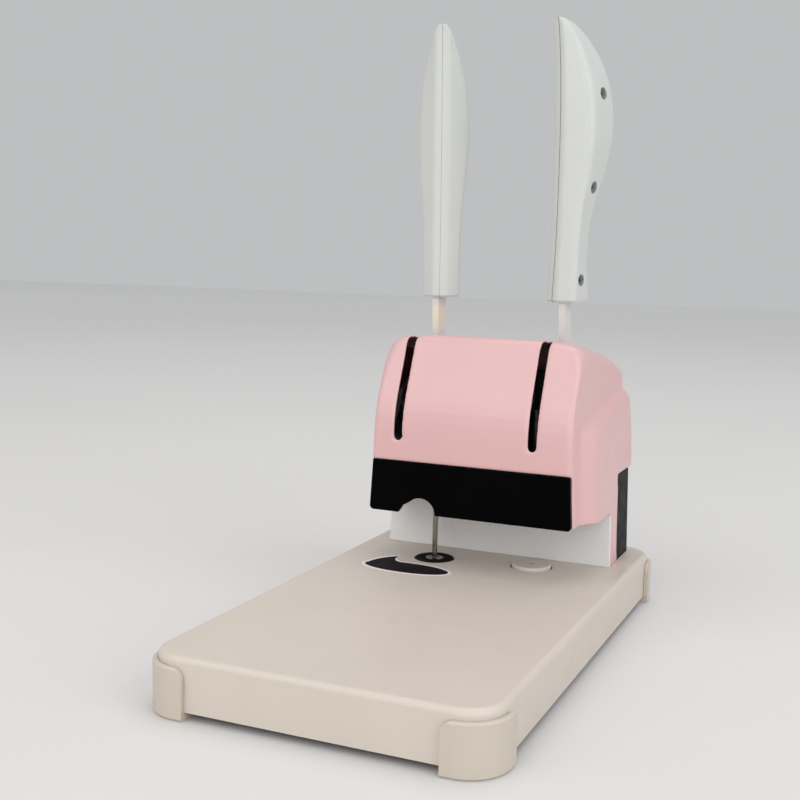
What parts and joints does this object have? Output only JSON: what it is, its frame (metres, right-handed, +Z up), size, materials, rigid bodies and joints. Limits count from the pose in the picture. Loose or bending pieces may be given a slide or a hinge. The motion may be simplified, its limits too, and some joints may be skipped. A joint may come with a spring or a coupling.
{
  "type": "document riveting machine",
  "caption": "Desk machine that drills a stack of paper under its left lever and hot-rivets it under its right lever, over a flat base with a rear paper stop.",
  "frame": {"origin": "centre of the base on the table, under the machine's middle", "axes": "+X to the machine's right as its user faces it, +Y to the rear, +Z up along the levers"},
  "size_m": [0.227, 0.395, 0.4491],
  "materials": {
    "base_paint": "fine satin powder coat, warm beige",
    "foot_plastic": "satin moulded cream",
    "black_plastic": "satin moulded black",
    "gloss_black": "polished black sheet",
    "pink_plastic": "smooth moulded, soft gloss",
    "white_paint": "smooth white powder coat",
    "grip_plastic": "fine-textured moulded light grey",
    "rocker_red": "moulded gloss",
    "board_green": "lacquered laminate",
    "insulator": "pressed heat-proof laminate",
    "bright_steel": "ground and lightly oiled",
    "dark_steel": "blackened",
    "plated_steel": "zinc plated sheet",
    "bare_aluminium": "turned and milled",
    "bronze": "turned bearing bronze"
  },
  "bodies": {
    "machine": {"base_housing": "base_paint", "base_plate": "dark_steel", "base_screws": "bright_steel", "foot_front_left": "foot_plastic", "foot_front_right": "foot_plastic", "foot_rear_left": "foot_plastic", "foot_rear_right": "foot_plastic", "cutting_pad": "black_plastic", "pad_bush": "bright_steel", "rivet_table": "base_paint", "lower_die": "bright_steel", "paper_stop": "white_paint", "side_plate_left": "plated_steel", "side_plate_right": "plated_steel", "lower_bridge": "plated_steel", "top_tie": "plated_steel", "rear_brace": "plated_steel", "quill_bush": "bronze", "ram_bush": "bronze", "guide_rods": "bright_steel", "lever_shaft": "bright_steel", "shaft_spacers": "bare_aluminium", "shaft_clips": "dark_steel", "head_cover": "pink_plastic", "front_panel": "gloss_black", "rear_cover": "black_plastic", "rear_cover_screws": "dark_steel", "control_board": "board_green", "power_inlet": "black_plastic", "switch_frame": "black_plastic", "drill_spring": "bright_steel", "rivet_spring": "bright_steel"},
    "drill_lever": {"drill_pinion": "dark_steel", "drill_arm": "white_paint", "drill_grip_left": "grip_plastic", "drill_grip_right": "grip_plastic", "drill_grip_screws": "dark_steel"},
    "rivet_lever": {"rivet_pinion": "dark_steel", "rivet_arm": "white_paint", "rivet_grip_left": "grip_plastic", "rivet_grip_right": "grip_plastic", "rivet_grip_screws": "dark_steel"},
    "drill_carriage": {"drill_quill": "bare_aluminium", "drill_motor": "dark_steel", "spindle_bearings": "bright_steel"},
    "spindle": {"drill_spindle": "bright_steel", "chuck_nut": "dark_steel"},
    "bit": {"drill_bit": "bright_steel"},
    "rivet_carriage": {"rivet_ram": "bare_aluminium", "heat_washer": "insulator", "heater_block": "bare_aluminium", "upper_die": "bright_steel"},
    "rocker": {"switch_rocker": "rocker_red"}
  },
  "joints": [
    {"name": "drill_lever_swing", "type": "hinge", "parent": "machine", "child": "drill_lever", "pos_m": [0, 0.132, 0.15], "axis": [1, 0, 0], "range_deg": [0, 88], "stiffness_Nm_per_rad": 0.6, "springref_deg": -34.38},
    {"name": "drill_feed", "type": "slide", "parent": "machine", "child": "drill_carriage", "axis": [0, 0, -1], "range_m": [0, 0.0308], "deforming": ["drill_spring"]},
    {"name": "spindle_spin", "type": "hinge", "parent": "drill_carriage", "child": "spindle", "pos_m": [-0.038, 0.083, 0.13], "axis": [0, 0, 1], "continuous": true},
    {"name": "bit_set", "type": "slide", "parent": "spindle", "child": "bit", "axis": [0, 0, 1], "range_m": [0, 0.0307]},
    {"name": "rivet_lever_swing", "type": "hinge", "parent": "machine", "child": "rivet_lever", "pos_m": [0, 0.132, 0.15], "axis": [1, 0, 0], "range_deg": [0, 88], "stiffness_Nm_per_rad": 0.6, "springref_deg": -34.38},
    {"name": "rivet_press", "type": "slide", "parent": "machine", "child": "rivet_carriage", "axis": [0, 0, -1], "range_m": [0, 0.0308], "deforming": ["rivet_spring"]},
    {"name": "switch_rock", "type": "hinge", "parent": "machine", "child": "rocker", "pos_m": [0.042, 0.1823, 0.072], "axis": [1, 0, 0], "range_deg": [-16, 0]}
  ],
  "couplings": [
    {"joint": "drill_feed", "follows": "drill_lever_swing", "m_per_rad": 0.02},
    {"joint": "rivet_press", "follows": "rivet_lever_swing", "m_per_rad": 0.02}
  ]
}
